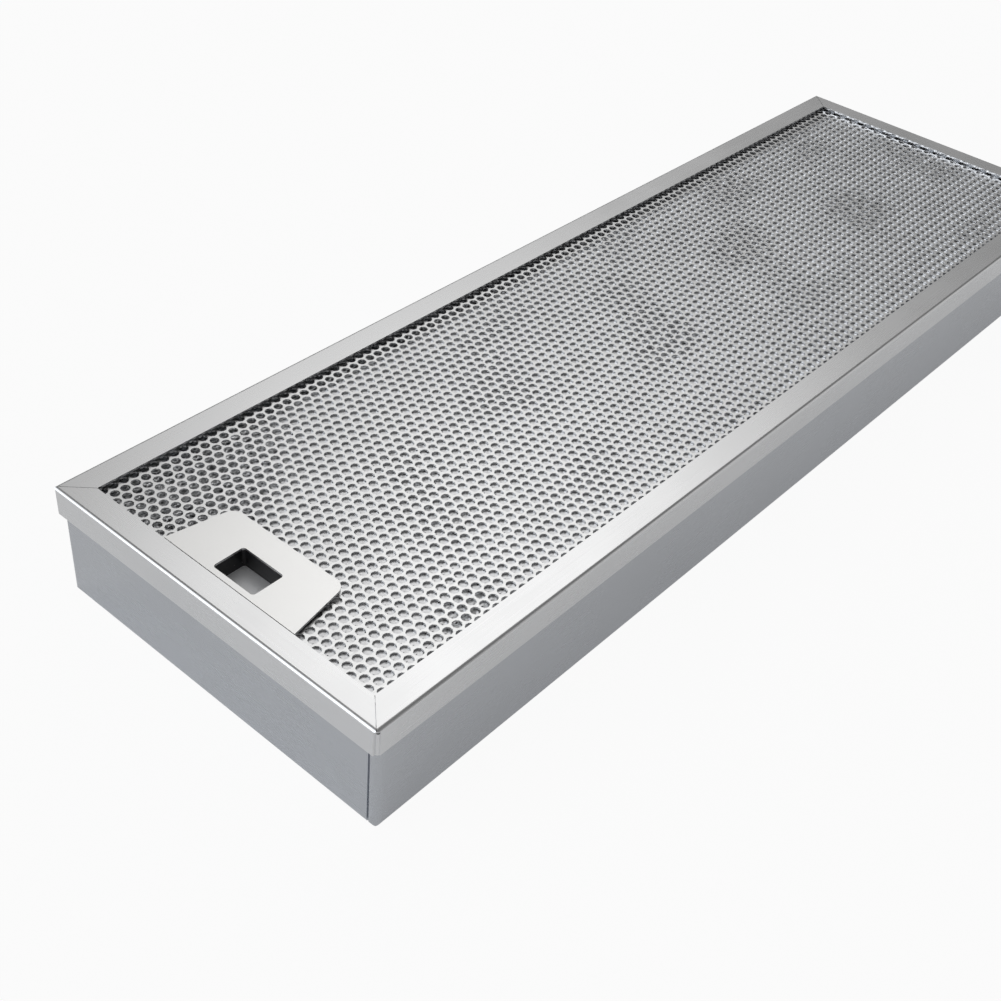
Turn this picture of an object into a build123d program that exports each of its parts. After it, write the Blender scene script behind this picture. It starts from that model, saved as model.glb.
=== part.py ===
from build123d import *
import os
from math import atan2, degrees, hypot

# Cooker hood grease filter: a deep cassette of crimped aluminium mesh between two perforated
# sheets, held in a folded channel frame, with a wider capping rim and a recessed finger grip.
# Millimetres. X runs along the length, +Z points out of the face that shows in use, and the
# origin is the middle of the underside. The grip and the frames' closing joints are at -X.

# Overall sizes and sheet
RIM_LENGTH = 570.0
RIM_WIDTH = 178.0
FILTER_HEIGHT = 54.0
SHEET = 1.0
BEND_IN = 0.5
LAP_GAP = 0.1
MITRE_GAP = 0.2

# Capping rim
RIM_SKIRT = 13.0
RIM_FLANGE_END = 11.7
RIM_FLANGE_SIDE = 12.5
RIM_CORNER_IN = 1.0
RIM_END_STOP = 1.5
RIM_SIDE_STOP = 2.1
RIM_TAB_ROUND = 1.0
RIM_TAB_JOGGLE = 0.4
RIM_TAB_SHOULDER = 1.0
RIM_TAB_REACH = 9.0
RIM_TAB_DROP = 0.9

# Body frame
BODY_CORNER_IN = 2.0
FLANGE_SETBACK = 3.0
BASE_FLANGE = 10.0
SEAM_OFFSET = 3.6
SEAM_GAP = 1.0
SEAM_JOGGLE = 0.8
BODY_TAB_REACH = 12.0

# Perforated sheets, with the hole pattern drawn coarse
GRILLE = 0.8
PACK_CLEAR = 0.3
HOLE_PITCH = 32.0
HOLE_WEB = 7.4
HOLE_EDGE = 0.4

# Mesh layers: crimped ones, and a nearly flat cover layer against each sheet
LAYERS = 14
COVER_LAYER = 1.6
MESH = 0.4
MESH_GAP = 0.1
CRIMP_PITCH = 28.0
NOTCH_CLEAR = 1.0

# Finger grip
PLATE_GAP = 0.3
PLATE_DEPTH = 30.2
PLATE_NEAR = 72.2
PLATE_FAR = 61.0
PLATE_ROUND = 5.3
WINDOW_SETBACK = 2.5
WINDOW_DEPTH = 15.2
WINDOW_WIDTH = 22.4
WINDOW_ROUND = 1.5
POCKET_DEPTH = 9.0
HOUSING_WALL = 1.2
HOUSING_FLANGE = 1.0
FLANGE_INSET = 1.2
FLOOR_PLATE = 0.8
FLOOR_CLEAR = 0.1
HOUSING_CLEAR = 0.3

# Worked out from the sizes above
BEND_OUT = BEND_IN + SHEET
CUT = 1.0

BODY_LENGTH = RIM_LENGTH - 2 * (2 * SHEET + LAP_GAP)
BODY_WIDTH = RIM_WIDTH - 2 * (SHEET + LAP_GAP)
BODY_TOP = FILTER_HEIGHT - SHEET
GRILLE_TOP = BODY_TOP - SHEET
PACK_LOW = SHEET + GRILLE
PACK_HIGH = GRILLE_TOP - GRILLE
LAYER_PITCH = (PACK_HIGH - PACK_LOW - 2 * COVER_LAYER) / (LAYERS - 2)

RIM_OPEN_LENGTH = RIM_LENGTH - 2 * RIM_FLANGE_END
RIM_OPEN_WIDTH = RIM_WIDTH - 2 * RIM_FLANGE_SIDE
BODY_OPEN_LENGTH = RIM_OPEN_LENGTH + 2 * FLANGE_SETBACK
BODY_OPEN_WIDTH = RIM_OPEN_WIDTH + 2 * FLANGE_SETBACK
PACK_LENGTH = BODY_LENGTH - 2 * (2 * SHEET + LAP_GAP + BEND_IN + PACK_CLEAR)
PACK_WIDTH = BODY_WIDTH - 2 * (SHEET + BEND_IN + PACK_CLEAR)

PLATE_TOP = GRILLE_TOP + HOUSING_FLANGE + SHEET
PLATE_START = -RIM_LENGTH / 2 + RIM_FLANGE_END + PLATE_GAP
WINDOW_X = PLATE_START + WINDOW_SETBACK + WINDOW_DEPTH / 2
POCKET_FLOOR = PLATE_TOP - POCKET_DEPTH
HOUSING_LOW = POCKET_FLOOR - FLOOR_PLATE - HOUSING_WALL


def block(low, high):
    """A box from its lowest to its highest corner."""
    size = [b - a for a, b in zip(low, high)]
    middle = [(a + b) / 2 for a, b in zip(low, high)]
    return Pos(*middle) * Box(*size)


def slab(outline, low, high):
    """A flat outline raised from one height to another."""
    return Pos(0, 0, low) * extrude(outline, high - low, dir=(0, 0, 1))


def bent_block(length, width, low, high, corner, bend, foot):
    """A block with round upright corners, and its top edges, and with foot its lower ones, bent."""
    solid = slab(Rectangle(length, width), low, high)
    solid = fillet(solid.faces().sort_by(Axis.Z)[-1].edges(), bend)
    if foot:
        solid = fillet(solid.faces().sort_by(Axis.Z)[0].edges(), bend)
    return solid & slab(RectangleRounded(length, width, corner), low, high)


def folded_wall(length, width, corner_in, low, high, foot):
    """One sheet folded round a rectangle, with its flanges bent in at the top and, if foot, below."""
    outer = bent_block(length, width, low, high, corner_in + SHEET, BEND_OUT, foot)
    inner_low = low + SHEET if foot else low - CUT
    inner = bent_block(
        length - 2 * SHEET, width - 2 * SHEET, inner_low, high - SHEET, corner_in, BEND_IN, foot
    )
    return outer - inner


def slit(start, end, low, high):
    """A thin upright cut along a line on plan, started a little before its first point."""
    run_x, run_y = end[0] - start[0], end[1] - start[1]
    length = hypot(run_x, run_y) + CUT
    blade = Pos((length - 2 * CUT) / 2, 0, (low + high) / 2) * Box(length, MITRE_GAP, high - low)
    return Pos(*start, 0) * Rot(0, 0, degrees(atan2(run_y, run_x))) * blade


def mitres(open_length, open_width, length, width, low, high, closing):
    """The cuts where folded flanges meet: three stop at the bend, the closing one ends as asked."""
    cuts = []
    for side_x, side_y in ((-1, -1), (-1, 1), (1, -1), (1, 1)):
        start = (side_x * open_length / 2, side_y * open_width / 2)
        bend = (side_x * (length / 2 - BEND_OUT), side_y * (width / 2 - BEND_OUT))
        first = side_x < 0 and side_y < 0
        cuts.append(slit(start, closing if first else bend, low, high))
    return cuts


def make_rim():
    """L-section capping strip. At the closing corner both skirts stop short, the corner is open just
    under the flanges, and a joggled tab of the long side laps behind the end skirt."""
    skirt_low = FILTER_HEIGHT - RIM_SKIRT
    end_x, side_y = -RIM_LENGTH / 2, -RIM_WIDTH / 2
    rim = folded_wall(RIM_LENGTH, RIM_WIDTH, RIM_CORNER_IN, skirt_low, FILTER_HEIGHT, False)
    rim -= slab(Rectangle(RIM_OPEN_LENGTH, RIM_OPEN_WIDTH), BODY_TOP - CUT, FILTER_HEIGHT + CUT)
    rim -= mitres(
        RIM_OPEN_LENGTH, RIM_OPEN_WIDTH, RIM_LENGTH, RIM_WIDTH,
        BODY_TOP - BEND_IN, FILTER_HEIGHT + CUT, (end_x - CUT, side_y - CUT),
    )
    rim -= block(
        (end_x - CUT, side_y - CUT, skirt_low - CUT),
        (end_x + RIM_SIDE_STOP, side_y + RIM_END_STOP, BODY_TOP),
    )
    lap_length = RIM_LENGTH - 2 * (SHEET + LAP_GAP)
    lap_width = RIM_WIDTH - 2 * RIM_TAB_JOGGLE
    corner = RectangleRounded(lap_length, lap_width, RIM_TAB_ROUND) - Rectangle(
        lap_length - 2 * SHEET, lap_width - 2 * SHEET
    )
    tab = slab(corner, skirt_low, FILTER_HEIGHT - BEND_OUT - RIM_TAB_DROP) & block(
        (end_x, side_y, 0),
        (end_x + RIM_SIDE_STOP + RIM_TAB_SHOULDER, side_y + RIM_TAB_REACH, FILTER_HEIGHT),
    )
    return rim + tab


def make_body():
    """Channel strip with flanges top and bottom; one end wraps the corner and laps behind the other."""
    end_x, side_y = -BODY_LENGTH / 2, -BODY_WIDTH / 2
    seam_y = side_y + SEAM_OFFSET
    base_length = BODY_LENGTH - 2 * BASE_FLANGE
    base_width = BODY_WIDTH - 2 * BASE_FLANGE
    foot_of_seam = (end_x + BEND_OUT - MITRE_GAP, seam_y + SEAM_GAP / 2)
    body = folded_wall(BODY_LENGTH, BODY_WIDTH, BODY_CORNER_IN, 0, BODY_TOP, True)
    body -= slab(Rectangle(BODY_OPEN_LENGTH, BODY_OPEN_WIDTH), GRILLE_TOP - CUT, BODY_TOP + CUT)
    body -= slab(Rectangle(base_length, base_width), -CUT, SHEET + CUT)
    body -= mitres(
        BODY_OPEN_LENGTH, BODY_OPEN_WIDTH, BODY_LENGTH, BODY_WIDTH,
        GRILLE_TOP - BEND_IN, BODY_TOP + CUT, foot_of_seam,
    )
    body -= mitres(
        base_length, base_width, BODY_LENGTH, BODY_WIDTH, -CUT, SHEET + BEND_IN, foot_of_seam
    )
    body -= block((end_x - CUT, seam_y, -CUT), (end_x + BEND_OUT, seam_y + SEAM_GAP, BODY_TOP + CUT))
    lap_x = end_x + SHEET + LAP_GAP
    lap = Polygon(
        (end_x, seam_y - SEAM_JOGGLE),
        (end_x, seam_y),
        (lap_x, seam_y + SEAM_JOGGLE),
        (lap_x, seam_y + BODY_TAB_REACH),
        (lap_x + SHEET, seam_y + BODY_TAB_REACH),
        (lap_x + SHEET, seam_y),
        (end_x + SHEET, seam_y - SEAM_JOGGLE),
        align=None,
    )
    return body + slab(lap, BEND_OUT + LAP_GAP, BODY_TOP - BEND_OUT - LAP_GAP)


def plate_outline(inset):
    """The grip's tapered outline with its two far corners rounded, drawn in by an inset."""
    near_x = PLATE_START + inset
    far_x = PLATE_START + PLATE_DEPTH - inset
    near_y, far_y = PLATE_NEAR / 2 - inset, PLATE_FAR / 2 - inset
    outline = Polygon((near_x, -near_y), (far_x, -far_y), (far_x, far_y), (near_x, near_y), align=None)
    return fillet(outline.vertices().sort_by(Axis.X)[-2:], PLATE_ROUND - inset)


def window_outline(grow):
    """The finger window's rounded outline, grown by a wall or a clearance."""
    outline = RectangleRounded(WINDOW_DEPTH + 2 * grow, WINDOW_WIDTH + 2 * grow, WINDOW_ROUND + grow)
    return Pos(WINDOW_X, 0) * outline


def make_handle_plate():
    """Flat plate, level with the rim, with the finger window cut in it."""
    return slab(plate_outline(0) - window_outline(0), PLATE_TOP - SHEET, PLATE_TOP)


def make_grip_housing():
    """Moulded pocket: a flange under the plate, four walls flush with the window, and a bottom."""
    flange = slab(plate_outline(FLANGE_INSET), GRILLE_TOP, GRILLE_TOP + HOUSING_FLANGE)
    walls = slab(window_outline(HOUSING_WALL), HOUSING_LOW, GRILLE_TOP)
    hollow = slab(window_outline(0), HOUSING_LOW + HOUSING_WALL, PLATE_TOP)
    return flange + walls - hollow


def make_grip_floor():
    """Metal plate that lies on the housing's bottom and shows through the window."""
    return slab(window_outline(-FLOOR_CLEAR), POCKET_FLOOR - FLOOR_PLATE, POCKET_FLOOR)


def make_grille(low, fitted):
    """Perforated sheet: close-packed holes along X, cut out round the grip housing where fitted."""
    row_pitch = HOLE_PITCH * 3 ** 0.5 / 2
    radius = (HOLE_PITCH - HOLE_WEB) / 3 ** 0.5
    rows = int((RIM_OPEN_WIDTH / 2 - HOLE_EDGE - radius) / row_pitch)
    reach = RIM_OPEN_LENGTH / 2 - HOLE_EDGE - (HOLE_PITCH - HOLE_WEB) / 2
    land = PLATE_START + PLATE_DEPTH + radius
    spots = []
    for row in range(-rows, rows + 1):
        y = row * row_pitch
        shift = HOLE_PITCH / 2 * (row % 2)
        count = int((reach - shift) / HOLE_PITCH)
        for step in range(-count - row % 2, count + 1):
            x = step * HOLE_PITCH + shift
            if not (fitted and x < land and abs(y) < PLATE_NEAR / 2 + radius):
                spots.append(Pos(x, y))
    holes = [spot * RegularPolygon(radius, 6, rotation=30) for spot in spots]
    sheet = Rectangle(PACK_LENGTH, PACK_WIDTH) - holes
    if fitted:
        sheet -= window_outline(HOUSING_WALL + HOUSING_CLEAR)
    return slab(sheet, low, low + GRILLE)


def make_layer(number):
    """Crimped sheet; its folds run across the filter in odd layers and along it in even ones. The
    first and last lie against the perforated sheets, and their folds are nearly flat."""
    height = COVER_LAYER if number in (0, LAYERS - 1) else LAYER_PITCH
    low = PACK_LOW if number == 0 else PACK_LOW + COVER_LAYER + (number - 1) * LAYER_PITCH
    rise = height - MESH_GAP - MESH
    across = number % 2 == 0
    length, depth = (PACK_LENGTH, PACK_WIDTH) if across else (PACK_WIDTH, PACK_LENGTH)
    folds = 2 * max(1, round(length / CRIMP_PITCH))
    line = [(length * (i / folds - 0.5), low + rise * (i % 2)) for i in range(folds + 1)]
    section = Polygon(*line, *[(x, z + MESH) for x, z in reversed(line)], align=None)
    layer = extrude(Plane.XZ * section, depth / 2, both=True)
    if not across:
        layer = Rot(0, 0, 90) * layer
    if low + rise + MESH > HOUSING_LOW - NOTCH_CLEAR:
        layer -= slab(window_outline(HOUSING_WALL + NOTCH_CLEAR), low - CUT, low + height)
    return layer


pieces = {
    "rim_frame": make_rim(),
    "body_frame": make_body(),
    "front_grille": make_grille(PACK_HIGH, True),
    "back_grille": make_grille(SHEET, False),
    "handle_plate": make_handle_plate(),
    "grip_housing": make_grip_housing(),
    "grip_floor": make_grip_floor(),
}
for number in range(LAYERS):
    pieces[f"mesh_layer_{number + 1:02d}"] = make_layer(number)

os.makedirs("parts", exist_ok=True)
for name, piece in pieces.items():
    export_step(piece, f"parts/{name}.step")
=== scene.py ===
from math import radians

import bpy
import numpy as np
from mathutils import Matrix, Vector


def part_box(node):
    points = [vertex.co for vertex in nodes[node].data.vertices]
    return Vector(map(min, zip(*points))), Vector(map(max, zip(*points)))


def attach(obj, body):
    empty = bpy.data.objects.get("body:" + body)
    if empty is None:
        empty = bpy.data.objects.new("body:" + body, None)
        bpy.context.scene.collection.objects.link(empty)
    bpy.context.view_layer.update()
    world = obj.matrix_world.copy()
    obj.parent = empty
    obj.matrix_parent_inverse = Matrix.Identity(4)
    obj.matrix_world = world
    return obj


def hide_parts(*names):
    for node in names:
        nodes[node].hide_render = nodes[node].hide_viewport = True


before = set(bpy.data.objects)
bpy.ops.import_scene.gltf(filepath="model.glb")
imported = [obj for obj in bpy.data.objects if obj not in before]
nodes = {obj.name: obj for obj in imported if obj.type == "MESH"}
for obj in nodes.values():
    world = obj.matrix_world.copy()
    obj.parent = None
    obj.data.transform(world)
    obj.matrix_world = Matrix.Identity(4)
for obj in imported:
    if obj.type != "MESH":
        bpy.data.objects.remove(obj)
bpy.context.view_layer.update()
MM = 0.001

# Frame strip: rim and body are folded from 1 mm mill-finish aluminium strip. Its fine rolling
# lines run along each member, so they turn at the mitres. The rim's strip is the brighter one; the
# body's darker colour is painted shade for the shadowed floor its faces mirror. Both have faint
# clouds.
RIM_COLOUR = (0.88, 0.885, 0.895, 1.0)
# The body's colour is the same strip darkened: painted shade, not a different metal.
BODY_PAINTED_SHADE_COLOUR = (0.645, 0.665, 0.70, 1.0)
STRIP_ROUGHNESS = 0.27
LINES_ACROSS = 2400.0
LINES_ALONG = 14.0
LINE_DETAIL = 3.0
LINE_GLOSS = 0.015
LINE_SHADE = 0.008
LINE_DEPTH = 0.0006 * MM
CLOUD_SIZE = 22.0
CLOUD_DETAIL = 4.0
CLOUD_GLOSS = (-0.02, 0.03)
CLOUD_SHADE = 0.035
NOISE_SPAN = (0.3, 0.7)


def new_material(name, colour, roughness, metallic=1.0):
    """A Principled material with its constants set on the shader, and its tree and shader."""
    material = bpy.data.materials.new(name)
    material.use_nodes = True
    shader = material.node_tree.nodes["Principled BSDF"]
    shader.inputs["Base Color"].default_value = colour
    shader.inputs["Roughness"].default_value = roughness
    shader.inputs["Metallic"].default_value = metallic
    return material, material.node_tree, shader


def add_node(tree, kind, settings, values, links):
    """One node of a tree: its settings by name, its sockets' values and its links by socket."""
    node = tree.nodes.new(kind)
    for key, value in settings.items():
        setattr(node, key, value)
    for key, value in values.items():
        node.inputs[key].default_value = value
    for key, socket in links.items():
        tree.links.new(socket, node.inputs[key])
    return node


def place(tree):
    """Object coordinates, in metres."""
    return add_node(tree, "ShaderNodeTexCoord", {}, {}, {}).outputs["Object"]


def noise(tree, where, stretch, size, detail):
    """Noise of a size, stretched by three factors."""
    spread = add_node(tree, "ShaderNodeMapping", {}, {"Scale": stretch}, {"Vector": where})
    return add_node(tree, "ShaderNodeTexNoise", {}, {"Scale": size, "Detail": detail},
                    {"Vector": spread.outputs["Vector"]}).outputs["Fac"]


def ramp(tree, value, span, result):
    """A value taken from one range to another, held at its ends."""
    ends = {"From Min": span[0], "From Max": span[1], "To Min": result[0], "To Max": result[1]}
    return add_node(tree, "ShaderNodeMapRange", {}, ends, {"Value": value}).outputs["Result"]


def calculate(tree, operation, one, other):
    """A sum, product or other step of two sockets, or of a socket and a number."""
    step = add_node(tree, "ShaderNodeMath", {"operation": operation}, {}, {})
    for socket, value in zip(step.inputs, (one, other)):
        if isinstance(value, float):
            socket.default_value = value
        else:
            tree.links.new(value, socket)
    return step.outputs[0]


def tinted(tree, shader, colour, factor):
    """The shader's colour, multiplied by a factor that changes over the surface."""
    mixed = add_node(tree, "ShaderNodeMix", {"data_type": "RGBA", "blend_type": "MULTIPLY"},
                     {"Factor": 1.0, "A": colour}, {"B": factor})
    tree.links.new(mixed.outputs["Result"], shader.inputs["Base Color"])


def bumped(tree, shader, height, distance):
    """Bump of a height over a distance in metres on the shader."""
    relief = add_node(tree, "ShaderNodeBump", {}, {"Strength": 1.0, "Distance": distance},
                      {"Height": height})
    tree.links.new(relief.outputs["Normal"], shader.inputs["Normal"])


def strip_metal(name, colour, length, width):
    """Mill-finish strip folded round a rectangle. Where a point is nearer to an end than to a
    side, its rolling lines run along Y, and elsewhere along X: an end's distance is half the
    length less the size of x, and a side's is half the width less the size of y."""
    material, tree, shader = new_material(name, colour, STRIP_ROUGHNESS)
    where = place(tree)
    axes = add_node(tree, "ShaderNodeSeparateXYZ", {}, {}, {"Vector": where})
    from_middle_x = calculate(tree, "ABSOLUTE", axes.outputs["X"], 0.0)
    from_middle_y = calculate(tree, "ABSOLUTE", axes.outputs["Y"], 0.0)
    from_end = calculate(tree, "SUBTRACT", length / 2, from_middle_x)
    from_side = calculate(tree, "SUBTRACT", width / 2, from_middle_y)
    at_end = calculate(tree, "LESS_THAN", from_end, from_side)
    along_x = noise(tree, where, (LINES_ALONG, LINES_ACROSS, LINES_ACROSS), 1.0, LINE_DETAIL)
    along_y = noise(tree, where, (LINES_ACROSS, LINES_ALONG, LINES_ACROSS), 1.0, LINE_DETAIL)
    lines = add_node(tree, "ShaderNodeMix", {"data_type": "FLOAT"}, {},
                     {"Factor": at_end, "A": along_x, "B": along_y}).outputs["Result"]
    clouds = noise(tree, where, (1.0, 1.0, 1.0), CLOUD_SIZE, CLOUD_DETAIL)
    cloud_gloss = (STRIP_ROUGHNESS + CLOUD_GLOSS[0], STRIP_ROUGHNESS + CLOUD_GLOSS[1])
    gloss = calculate(tree, "ADD", ramp(tree, lines, NOISE_SPAN, (-LINE_GLOSS, LINE_GLOSS)),
                      ramp(tree, clouds, NOISE_SPAN, cloud_gloss))
    tree.links.new(gloss, shader.inputs["Roughness"])
    tint = calculate(tree, "ADD", ramp(tree, lines, NOISE_SPAN, (-LINE_SHADE, LINE_SHADE)),
                     ramp(tree, clouds, NOISE_SPAN, (1 - CLOUD_SHADE, 1.0)))
    tinted(tree, shader, colour, tint)
    bumped(tree, shader, lines, LINE_DEPTH)
    return material


def dress(node, material):
    """Puts one material on a CAD node."""
    node.data.materials.clear()
    node.data.materials.append(material)


# The body gets the darker copy of the strip's colour, which is painted shade.
for name, material_name, colour in (("rim_frame", "rim_metal", RIM_COLOUR),
                                    ("body_frame", "body_metal_painted_shade", BODY_PAINTED_SHADE_COLOUR)):
    lowest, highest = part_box(name)
    strip = strip_metal(material_name, colour, highest.x - lowest.x, highest.y - lowest.y)
    dress(nodes[name], strip)

# Perforated sheets: 0.8 mm aluminium, punched all over with 4 mm holes in a close-packed
# pattern whose rows run along the filter. The front one has a cut-out for the grip's pocket.
SHEET_COLOUR = (0.90, 0.905, 0.91, 1.0)
SHEET_ROUGHNESS = 0.3
SHEET_GRAIN = (40.0, 1500.0, 1500.0)
HOLE_RADIUS = 2.08 * MM
HOLE_PITCH = 5.0 * MM
HOLE_CORNERS = 9
ROW_PITCH = HOLE_PITCH * 3 ** 0.5 / 2
PATTERN_START = (-1.6 * MM, 1.9 * MM)
PATTERN_REACH = (276.0 * MM, 79.0 * MM)
POCKET_WALL = 1.6 * MM
GRAIN_DETAIL = 3.0
SOFT_CLOUD_SIZE = 35.0
SOFT_CLOUD_SPAN = (0.35, 0.65)


def grained(name, colour, roughness, metallic, stretch, spread, shade, depth):
    """One surface with a fine grain, stretched by three factors: the grain changes its gloss by
    the spread and its colour by the shade, soft clouds darken it as much again, and bump
    lifts it by the depth in metres."""
    material, tree, shader = new_material(name, colour, roughness, metallic)
    where = place(tree)
    grain = noise(tree, where, stretch, 1.0, GRAIN_DETAIL)
    clouds = noise(tree, where, (1.0, 1.0, 1.0), SOFT_CLOUD_SIZE, GRAIN_DETAIL)
    gloss = ramp(tree, grain, NOISE_SPAN, (roughness - spread, roughness + spread))
    tree.links.new(gloss, shader.inputs["Roughness"])
    tint = calculate(tree, "ADD", ramp(tree, grain, NOISE_SPAN, (-shade, 0.0)),
                     ramp(tree, clouds, SOFT_CLOUD_SPAN, (1 - shade, 1.0)))
    tinted(tree, shader, colour, tint)
    bumped(tree, shader, grain, depth)
    return material


def solid_from_plan(name, points, faces, low, high):
    """A closed thin solid from a plan of triangles: each point (x, y) stands at the heights
    high(x, y) and low(x, y), the triangles are the top and, turned over, the bottom, and each
    edge that only one triangle has gets a wall of two triangles."""
    count = len(points)
    edges = np.concatenate([faces[:, [0, 1]], faces[:, [1, 2]], faces[:, [2, 0]]])
    ordered = np.sort(edges, axis=1)
    _, first, times = np.unique(ordered[:, 0] * count + ordered[:, 1],
                                return_index=True, return_counts=True)
    a, b = edges[first[times == 1]].T
    walls = np.concatenate([np.column_stack([b, a, a + count]),
                            np.column_stack([b, a + count, b + count])])
    everything = np.concatenate([faces, faces[:, ::-1] + count, walls])
    corners = np.concatenate([np.column_stack([points, high]), np.column_stack([points, low])])
    mesh = bpy.data.meshes.new(name)
    mesh.vertices.add(len(corners))
    mesh.vertices.foreach_set("co", corners.astype(np.float32).ravel())
    mesh.loops.add(everything.size)
    mesh.loops.foreach_set("vertex_index", everything.astype(np.int32).ravel())
    mesh.polygons.add(len(everything))
    mesh.polygons.foreach_set("loop_start", np.arange(0, everything.size, 3, dtype=np.int32))
    mesh.update(calc_edges=True)
    mesh.validate()
    mesh.shade_flat()
    piece = bpy.data.objects.new(name, mesh)
    bpy.context.scene.collection.objects.link(piece)
    return piece


def ring_stencil(sides):
    """Triangles between a brick's six edge points (0 to 5, from its low left corner) and a round
    hole of so many sides (6 onwards), and the angles of the hole's corners: both rings are
    walked by angle, and each step joins the nearer."""
    half = ROW_PITCH / HOLE_PITCH
    outer = np.array([(-1, -half), (0, -half), (1, -half), (1, half), (0, half), (-1, half)])
    outer_turn = np.unwrap(np.arctan2(outer[:, 1], outer[:, 0]))
    start = outer_turn[0]
    inner_turn = start + 2 * np.pi * np.arange(sides) / sides
    outer_turn = np.append(outer_turn, start + 2 * np.pi)
    inner_turn = np.append(inner_turn, start + 2 * np.pi)
    i = j = 0
    triangles = []
    while i < 6 or j < sides:
        here, there = i % 6, 6 + j % sides
        if j == sides or (i < 6 and outer_turn[i + 1] <= inner_turn[j + 1]):
            triangles.append((here, (i + 1) % 6, there))
            i += 1
        else:
            triangles.append((here, 6 + (j + 1) % sides, there))
            j += 1
    return np.array(triangles), inner_turn[:-1]


def perforated_sheet(name, node, keep_hole, keep_land):
    """The plan is a grid with lines every half pitch along X and every row pitch along Y. Two
    grid squares side by side make a brick, shifted by half a pitch in each second row, and a
    brick that keep_hole takes has a hole, whose corners stand a little outside a 4 mm circle,
    so that it has the circle's area. keep_land says which of the plain squares are there."""
    lowest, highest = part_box(node)
    half = HOLE_PITCH / 2
    pairs = 2 * round(PATTERN_REACH[0] / HOLE_PITCH) + 1
    rows = 2 * round(PATTERN_REACH[1] / ROW_PITCH) + 1
    left = PATTERN_START[0] - half * pairs
    near = PATTERN_START[1] - ROW_PITCH * rows / 2
    xs = np.concatenate([[lowest.x], left + half * np.arange(2 * pairs + 1), [highest.x]])
    ys = np.concatenate([[lowest.y], near + ROW_PITCH * np.arange(rows + 1), [highest.y]])
    grid = np.arange(len(xs) * len(ys)).reshape(len(ys), len(xs))
    points = np.stack(np.meshgrid(xs, ys), axis=-1).reshape(-1, 2)
    row, step = np.meshgrid(np.arange(1, rows + 1), np.arange(pairs), indexing="ij")
    column = 1 + 2 * step + row % 2
    inside = column + 2 <= len(xs) - 2
    row, column = row[inside], column[inside]
    centre = np.column_stack([xs[column + 1], ys[row] + ROW_PITCH / 2])
    taken = keep_hole(centre[:, 0], centre[:, 1])
    row, column, centre = row[taken], column[taken], centre[taken]
    stencil, turns = ring_stencil(HOLE_CORNERS)
    circle = HOLE_RADIUS * np.column_stack([np.cos(turns), np.sin(turns)])
    holes = (centre[:, None, :] + circle).reshape(-1, 2)
    ring = len(points) + np.arange(len(holes)).reshape(-1, HOLE_CORNERS)
    border = np.column_stack([grid[row, column], grid[row, column + 1],
                              grid[row, column + 2], grid[row + 1, column + 2],
                              grid[row + 1, column + 1], grid[row + 1, column]])
    bricks = np.column_stack([border, ring])[:, stencil].reshape(-1, 3)
    plain = np.ones((len(ys) - 1, len(xs) - 1), bool)
    plain[row, column] = plain[row, column + 1] = False
    middle_x, middle_y = np.meshgrid((xs[1:] + xs[:-1]) / 2, (ys[1:] + ys[:-1]) / 2)
    r, c = np.nonzero(plain & keep_land(middle_x, middle_y))
    squares = np.concatenate([
        np.column_stack([grid[r, c], grid[r, c + 1], grid[r + 1, c + 1]]),
        np.column_stack([grid[r, c], grid[r + 1, c + 1], grid[r + 1, c]])])
    points = np.concatenate([points, holes])
    flat = np.ones(len(points))
    piece = solid_from_plan(name, points, np.concatenate([bricks, squares]),
                            lowest.z * flat, highest.z * flat)
    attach(piece, "root")
    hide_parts(node)
    piece.data.materials.append(sheet_metal)


plate_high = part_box("handle_plate")[1]
pocket_low, pocket_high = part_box("grip_floor")


def clear_of_plate(x, y):
    """Holes that aren't wholly hidden under the grip's plate."""
    return (x > plate_high.x - HOLE_RADIUS) | (np.abs(y) > plate_high.y - 2 * HOLE_PITCH)


def clear_of_pocket(x, y):
    """Land outside the cut-out that the pocket passes through."""
    beyond = (x > pocket_high.x + POCKET_WALL) | (x < pocket_low.x - POCKET_WALL)
    return beyond | (np.abs(y) > pocket_high.y + POCKET_WALL)


def everywhere(x, y):
    """The back sheet is whole."""
    return np.ones(x.shape, bool)


sheet_metal = grained("sheet_metal", SHEET_COLOUR, SHEET_ROUGHNESS, 1.0, SHEET_GRAIN,
                      spread=0.04, shade=0.03, depth=0.001 * MM)
perforated_sheet("front_sheet", "front_grille", clear_of_plate, clear_of_pocket)
perforated_sheet("back_sheet", "back_grille", everywhere, everywhere)

# Mesh: layers of thin expanded aluminium foil, crimped and stacked a quarter turn apart, with a
# nearly flat cover layer against each sheet. The two uppermost layers are nets of real strands,
# the cover net in two halves, and the deeper ones only close the view.
MESH_COLOUR = (0.80, 0.805, 0.82, 1.0)
MESH_ROUGHNESS = 0.34
MESH_GRAIN = (1100.0, 1100.0, 1100.0)
MESH_REACH = (276.0 * MM, 80.0 * MM)
STRAND = 0.2 * MM
KNOT_STRAY = 0.07
CELL_SPREAD = (0.7, 1.25)
WAVE_COUNT = 8
WAVE_SCALE = 3
PATCH_WAVES = (41, 35, 90)
FOLD_WAVES = (42, 5, 11)
SWAY_WAVES = (43, 12, 30)
CRUMPLE_WAVES = (45, 9, 30)
COVER_DIAMOND = (5.0 * MM, 2.55 * MM)
COVER_SEED = 14
COVER_TOP = 0.97
COVER_SWAY = 0.03
COVER_TWIST = (0.015, 0.1)
PATCH_START = 0.1
PATCH_SLOPE = 0.8
SLIT = 0.14
CRUMPLED_SLIT = 0.12
CRUMPLED_DROP = (0.2, 0.25)
SLACK_SLIT = 0.6
SLACK_DROP = (0.75, 0.2)
SLACK_START = 248.0 * MM
SLACK_SPREAD = 42.0 * MM
FAR_EDGE = 67.0 * MM
FAR_FALL = 6.0 * MM
CRIMP_PITCH = 28.0 * MM
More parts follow.
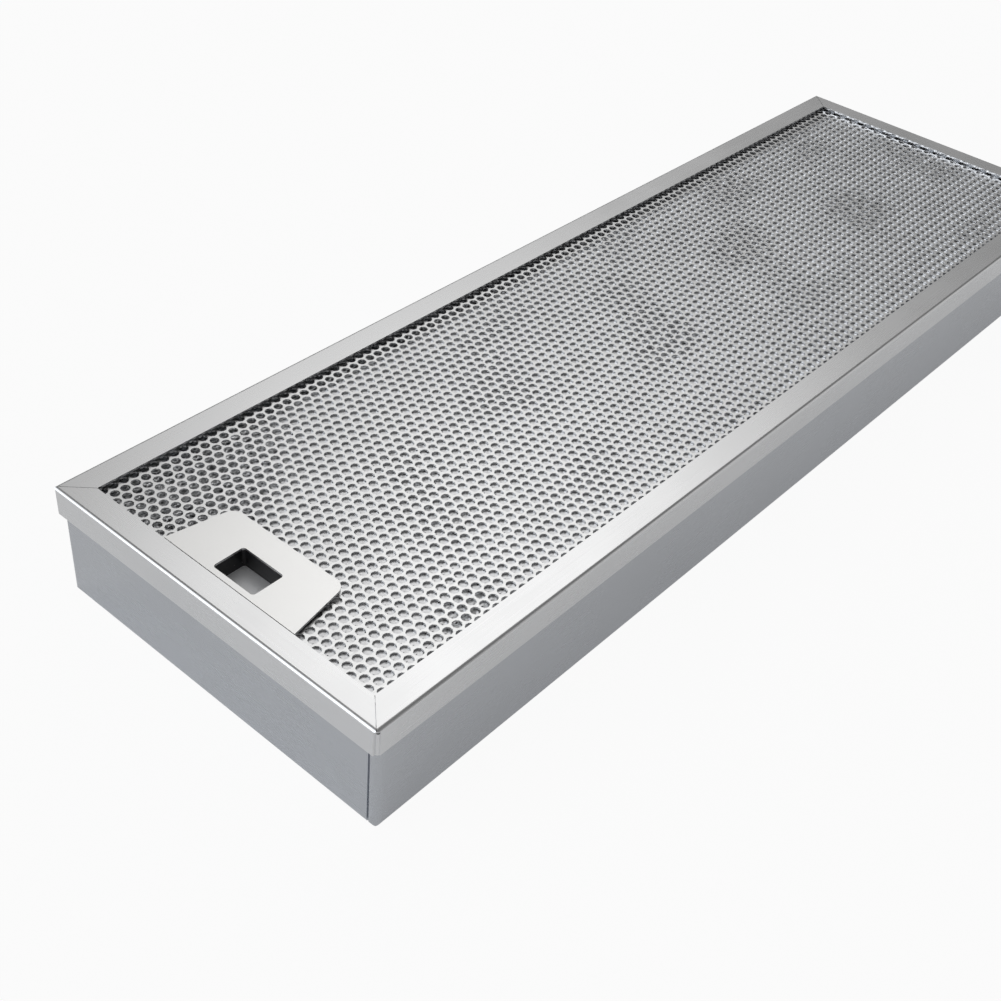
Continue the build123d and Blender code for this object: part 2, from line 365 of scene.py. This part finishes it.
CRIMPED_DIAMOND = (7.4 * MM, 3.8 * MM)
CRIMPED_SEED = 13
CRIMPED_SLIT = 0.55
CRIMPED_LOW = 0.12
CRIMPED_RISE = 0.72
CRIMPED_CRUMPLE = 0.05
CRIMPED_TWIST = 0.11


def waves(x, y, seed, shortest, longest):
    """Sine waves of seeded directions and lengths in millimetres, added up and scaled to
    about one."""
    own = np.random.default_rng(seed)
    total = np.zeros_like(x)
    draws = own.uniform((shortest, 0, 0), (longest, np.pi, 2 * np.pi), (WAVE_COUNT, 3))
    for length, turn, start in draws:
        along = x * np.cos(turn) + y * np.sin(turn)
        total += np.sin(along * 2 * np.pi / (length * MM) + start)
    return total / WAVE_SCALE


def crimp(at, length):
    """The solid layer's zigzag: nought at both ends and one at each fold between, half a pitch
    apart."""
    step = length / (2 * round(length / CRIMP_PITCH))
    return 1 - np.abs((at + length / 2) / step % 2 - 1)


def rhombus_net(diamond, opening, low, high, seed):
    """A lattice of rhombi between two corners of the plan. Knots stand on every second point of
    a grid of half diamonds, strayed a little. Each point between has four knots round it, and
    the corners of its opening lie a share of the way from their middle to each knot, so that
    strands are left. Gives points, triangles, and how far each point twists up or down."""
    half = np.array(diamond) / 2
    first = np.ceil(np.array(low) / half).astype(int)
    last = np.floor(np.array(high) / half).astype(int)
    i, j = np.meshgrid(np.arange(first[0], last[0] + 1), np.arange(first[1], last[1] + 1))
    knots = (i + j) % 2 == 0
    number = np.full(i.shape, -1)
    number[knots] = np.arange(knots.sum())
    own = np.random.default_rng(seed)
    stray = own.normal(0, KNOT_STRAY, (knots.sum(), 2))
    knot_at = (np.column_stack([i[knots], j[knots]]) + stray) * half
    cell = ~knots
    cell[0, :] = cell[-1, :] = cell[:, 0] = cell[:, -1] = False
    r, c = np.nonzero(cell)
    outer = np.column_stack([number[r - 1, c], number[r, c + 1],
                             number[r + 1, c], number[r, c - 1]])
    centre = knot_at[outer].mean(axis=1)
    size = opening(centre[:, 0], centre[:, 1]) * own.uniform(*CELL_SPREAD, len(centre))
    inner_at = centre[:, None] + size[:, None, None] * (knot_at[outer] - centre[:, None])
    inner = len(knot_at) + np.arange(4 * len(centre)).reshape(-1, 4)
    corners = np.column_stack([outer, inner])
    stencil = np.array([(0, 1, 5), (0, 5, 4), (1, 2, 6), (1, 6, 5),
                        (2, 3, 7), (2, 7, 6), (3, 0, 4), (3, 4, 7)])
    twist = np.concatenate([np.zeros(len(knot_at)),
                            np.tile([-1.0, 0.0, 1.0, 0.0], len(centre))])
    points = np.concatenate([knot_at, inner_at.reshape(-1, 2)])
    return points, corners[:, stencil].reshape(-1, 3), twist


def mesh_net(name, node, plan, height):
    """A net in its layer's space: height gives 0 to 1 over the plan, and the pocket has its
    cut-out."""
    lowest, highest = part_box(node)
    points, faces, twist = plan
    middle = points[faces].mean(axis=1)
    faces = faces[clear_of_pocket(middle[:, 0], middle[:, 1])]
    used, faces = np.unique(faces, return_inverse=True)
    faces = faces.reshape(-1, 3)
    points, twist = points[used], twist[used]
    share = np.clip(height(points[:, 0], points[:, 1], twist), 0, 1)
    z = lowest.z + (highest.z - lowest.z - STRAND) * share
    piece = solid_from_plan(name, points, faces, z, z + STRAND)
    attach(piece, "root")
    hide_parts(node)
    piece.data.materials.append(mesh_metal)


def slack(x, y):
    """Where the cover foil hangs loose and open: nought to one over the corner beyond the grip,
    as y less x grows past a start, and along the far rim, as y grows past an edge."""
    in_corner = np.clip((y - x - SLACK_START) / SLACK_SPREAD, 0, 1)
    return np.maximum(in_corner, np.clip((y - FAR_EDGE) / FAR_FALL, 0, 1))


def crumpled(x, y):
    """Patches, nought to one, where the cover foil is crumpled instead of flat: slow waves past
    a start, times a slope."""
    return np.clip(PATCH_SLOPE * (waves(x, y, *PATCH_WAVES) - PATCH_START), 0, 1)


def cover_opening(x, y):
    """The share of a rhombus that is open: small slits, wider where the foil is crumpled or
    slack."""
    return SLIT + CRUMPLED_SLIT * crumpled(x, y) + SLACK_SLIT * slack(x, y)


def cover_height(x, y, twist):
    """Nearly the top of the solid's space, flat against the sheet, less a drop where the foil is
    crumpled or slack, with slow sway, and with strands that twist more the further they drop."""
    fold = waves(x, y, *FOLD_WAVES)
    drop = (crumpled(x, y) * (CRUMPLED_DROP[0] + CRUMPLED_DROP[1] * fold)
            + slack(x, y) * (SLACK_DROP[0] + SLACK_DROP[1] * fold))
    sway = COVER_SWAY * waves(x, y, *SWAY_WAVES)
    return COVER_TOP - drop + sway + (COVER_TWIST[0] + COVER_TWIST[1] * drop) * twist


def crimped_opening(x, y):
    """The share of a crimped layer's rhombus that is open: the same all over."""
    return np.full(x.shape, CRIMPED_SLIT)


def crimped_height(x, y, twist):
    """The solid's zigzag along X, scaled, with a little crumple and the strands' twist added."""
    crumple = CRIMPED_CRUMPLE * waves(x, y, *CRUMPLE_WAVES)
    return CRIMPED_LOW + CRIMPED_RISE * crimp(x, mesh_length) + crumple + CRIMPED_TWIST * twist


mesh_low, mesh_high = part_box("mesh_layer_14")
mesh_length = mesh_high.x - mesh_low.x
mesh_metal = grained("mesh_metal", MESH_COLOUR, MESH_ROUGHNESS, 1.0, MESH_GRAIN,
                     spread=0.06, shade=0.05, depth=0.02 * MM)
for name, start, stop in (("mesh_net_14_near_grip", -MESH_REACH[0], COVER_DIAMOND[0]),
                          ("mesh_net_14_far", 0.0, MESH_REACH[0])):
    plan = rhombus_net(COVER_DIAMOND, cover_opening, (start, -MESH_REACH[1]),
                       (stop, MESH_REACH[1]), COVER_SEED)
    mesh_net(name, "mesh_layer_14", plan, cover_height)
points, faces, twist = rhombus_net(CRIMPED_DIAMOND, crimped_opening,
                                   (-MESH_REACH[1], -MESH_REACH[0]), MESH_REACH[::-1],
                                   CRIMPED_SEED)
quarter_turned = points[:, ::-1] * (1, -1)
mesh_net("mesh_net_13", "mesh_layer_13", (quarter_turned, faces, twist), crimped_height)
for number in range(1, 13):
    dress(nodes[f"mesh_layer_{number:02d}"], mesh_metal)

# Grip: a satin plate level with the rim, the black moulded pocket under its window, whose flange
# carries the plate, and the pocket's light metal floor.
PLATE_COLOUR = (0.97, 0.97, 0.965, 1.0)
PLATE_ROUGHNESS = 0.31
PLATE_GRAIN = (2600.0, 2600.0, 2600.0)
PLASTIC_COLOUR = (0.018, 0.018, 0.02, 1.0)
PLASTIC_ROUGHNESS = 0.33
PLASTIC_GRAIN = (3500.0, 3500.0, 3500.0)
FLOOR_COLOUR = (0.95, 0.96, 0.98, 1.0)
FLOOR_ROUGHNESS = 0.45
FLOOR_METALLIC = 0.4
FLOOR_GRAIN = (1800.0, 60.0, 1800.0)
plate_metal = grained("plate_metal", PLATE_COLOUR, PLATE_ROUGHNESS, 1.0, PLATE_GRAIN,
                      spread=0.02, shade=0.012, depth=0.001 * MM)
black_plastic = grained("black_plastic", PLASTIC_COLOUR, PLASTIC_ROUGHNESS, 0.0, PLASTIC_GRAIN,
                        spread=0.06, shade=0.1, depth=0.01 * MM)
floor_metal = grained("floor_metal", FLOOR_COLOUR, FLOOR_ROUGHNESS, FLOOR_METALLIC, FLOOR_GRAIN,
                      spread=0.05, shade=0.02, depth=0.002 * MM)
dress(nodes["handle_plate"], plate_metal)
dress(nodes["grip_housing"], black_plastic)
dress(nodes["grip_floor"], floor_metal)

# Studio floor: white paper, seen as an even pale ground by the camera and in part by metal, and
# still shaded by the filter, so that its shadow stays.
PAPER_HALF = 3.0
PAPER_COLOUR = (0.88, 0.88, 0.88, 1.0)
PAPER_ROUGHNESS = 0.9
CAMERA_SHARE = 0.94
MIRROR_SHARE = 0.26
paper_mesh = bpy.data.meshes.new("studio_floor")
paper_mesh.from_pydata([(-PAPER_HALF, -PAPER_HALF, 0), (PAPER_HALF, -PAPER_HALF, 0),
                        (PAPER_HALF, PAPER_HALF, 0), (-PAPER_HALF, PAPER_HALF, 0)],
                       [], [(0, 1, 2, 3)])
studio_floor = bpy.data.objects.new("studio_floor", paper_mesh)
bpy.context.scene.collection.objects.link(studio_floor)
paper, tree, shader = new_material("paper", PAPER_COLOUR, PAPER_ROUGHNESS, 0.0)
paper_mesh.materials.append(paper)
glow = add_node(tree, "ShaderNodeEmission", {}, {}, {})
rays = add_node(tree, "ShaderNodeLightPath", {}, {}, {})
mirrored = calculate(tree, "ADD", rays.outputs["Is Glossy Ray"], rays.outputs["Is Transmission Ray"])
seen = calculate(tree, "MULTIPLY", rays.outputs["Is Camera Ray"], CAMERA_SHARE)
share = calculate(tree, "ADD", seen, calculate(tree, "MULTIPLY", mirrored, MIRROR_SHARE))
blend = add_node(tree, "ShaderNodeMixShader", {}, {}, {"Fac": share})
tree.links.new(shader.outputs[0], blend.inputs[1])
tree.links.new(glow.outputs[0], blend.inputs[2])
tree.links.new(blend.outputs[0], tree.nodes["Material Output"].inputs["Surface"])

# Studio light: a sky with soft round glows. The key stands where the top mirrors it to the camera,
# the wide cool glow behind the near end lights the sides and the folds, a small fill and one
# overhead serve the other views, and the rest is dim. The camera itself sees a pale backdrop.
KEY_AIM = (37.5, 46.5)
KEY_CORE = (4, 20, 0.94)
KEY_HALO = (0, 38, 0.2)
WINDOW_AIM = (157, 10)
WINDOW_GLOW = (0, 52, 1.7)
FILL_AIM = (322, 6)
FILL_GLOW = (0, 26, 0.45)
CEILING_AIM = (0, 90)
CEILING_GLOW = (6, 27, 0.55)
DIM = 0.15
WARM_WHITE = (1.0, 0.995, 0.985, 1.0)
COOL_WHITE = (0.93, 0.96, 1.0, 1.0)
BACKDROP_WHITE = (1.0, 1.0, 1.0, 1.0)
world = bpy.data.worlds.new("studio")
bpy.context.scene.world = world
world.use_nodes = True
tree = world.node_tree
background = tree.nodes["Background"]
direction = tree.nodes.new("ShaderNodeTexCoord")


def soft_lamp(aim, inner, outer, strength):
    """A round soft glow in the studio's sky: full within the inner angle, and gone past the
    outer one."""
    a, e = radians(aim[0]), radians(aim[1])
    facing = add_node(tree, "ShaderNodeVectorMath", {"operation": "DOT_PRODUCT"},
                      {1: (np.cos(e) * np.cos(a), np.cos(e) * np.sin(a), np.sin(e))},
                      {0: direction.outputs["Generated"]})
    limits = {"From Min": np.cos(radians(outer)), "From Max": np.cos(radians(inner)),
              "To Max": strength}
    return add_node(tree, "ShaderNodeMapRange", {"interpolation_type": "SMOOTHSTEP"}, limits,
                    {"Value": facing.outputs["Value"]}).outputs["Result"]


window_glow = soft_lamp(WINDOW_AIM, *WINDOW_GLOW)
light = calculate(tree, "ADD", soft_lamp(KEY_AIM, *KEY_CORE), soft_lamp(KEY_AIM, *KEY_HALO))
for lamp in (window_glow, soft_lamp(FILL_AIM, *FILL_GLOW), soft_lamp(CEILING_AIM, *CEILING_GLOW)):
    light = calculate(tree, "ADD", light, lamp)
light = calculate(tree, "ADD", light, DIM)
tone = add_node(tree, "ShaderNodeMix", {"data_type": "RGBA"},
                {"A": WARM_WHITE, "B": COOL_WHITE}, {"Factor": window_glow})
tree.links.new(tone.outputs["Result"], background.inputs["Color"])
tree.links.new(light, background.inputs["Strength"])
backdrop = add_node(tree, "ShaderNodeBackground", {},
                    {"Color": BACKDROP_WHITE, "Strength": CAMERA_SHARE}, {})
rays = add_node(tree, "ShaderNodeLightPath", {}, {}, {})
sky = add_node(tree, "ShaderNodeMixShader", {}, {}, {"Fac": rays.outputs["Is Camera Ray"]})
tree.links.new(background.outputs[0], sky.inputs[1])
tree.links.new(backdrop.outputs[0], sky.inputs[2])
tree.links.new(sky.outputs[0], tree.nodes["World Output"].inputs["Surface"])

# Camera: above the near corner, looking along the filter. Its place, turn and lens are fitted to
# the straight edges of rim and body.
LENS = 51.41
SENSOR = 36.0
CAMERA_PLACE = (-0.51332, -0.30699, 0.41698)
CAMERA_TURN = (50.39895, -4.34132, -48.79171)
camera_data = bpy.data.cameras.new("camera")
camera_data.lens = LENS
camera_data.sensor_width = SENSOR
camera = bpy.data.objects.new("camera", camera_data)
camera.location = CAMERA_PLACE
camera.rotation_euler = [radians(turn) for turn in CAMERA_TURN]
bpy.context.scene.collection.objects.link(camera)
bpy.context.scene.camera = camera
bpy.context.scene.view_settings.view_transform = "Standard"
